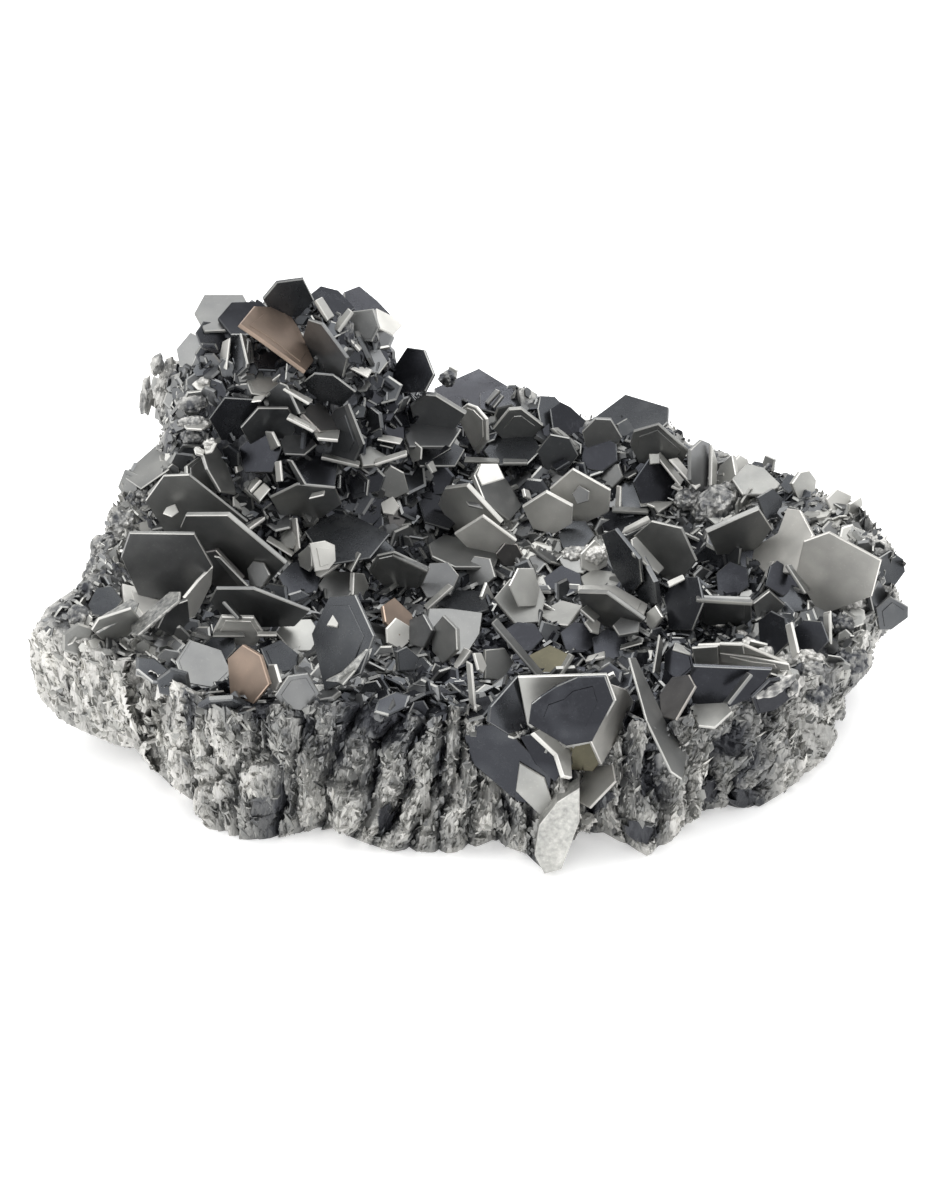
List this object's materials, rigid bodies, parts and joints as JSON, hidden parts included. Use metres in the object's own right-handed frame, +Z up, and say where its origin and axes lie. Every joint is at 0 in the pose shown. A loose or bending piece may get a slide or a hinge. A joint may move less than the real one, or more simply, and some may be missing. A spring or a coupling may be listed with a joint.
{
  "type": "silicon carbide crystal cluster",
  "caption": "Furnace-grown cluster of thin dark hexagonal crystal plates crowding the top of a thick silver-grey columnar crust, with a raised knob at one back corner and a flat cut foot.",
  "frame": {"origin": "On the flat cut foot, below the middle of the cluster's width, where the foot rests.", "axes": "+X along the long side, to the right seen from the ribbed front wall; +Y from the front wall to the back; +Z up, away from the foot."},
  "size_m": [0.0983, 0.0716, 0.0456],
  "materials": {
    "silicon_carbide": "Near-black mirror-like crystal faces, some silvery and frosted, over a rough silver-grey columnar crust."
  },
  "bodies": {
    "root": {"silicon_carbide_cluster": "silicon_carbide"}
  },
  "joints": []
}
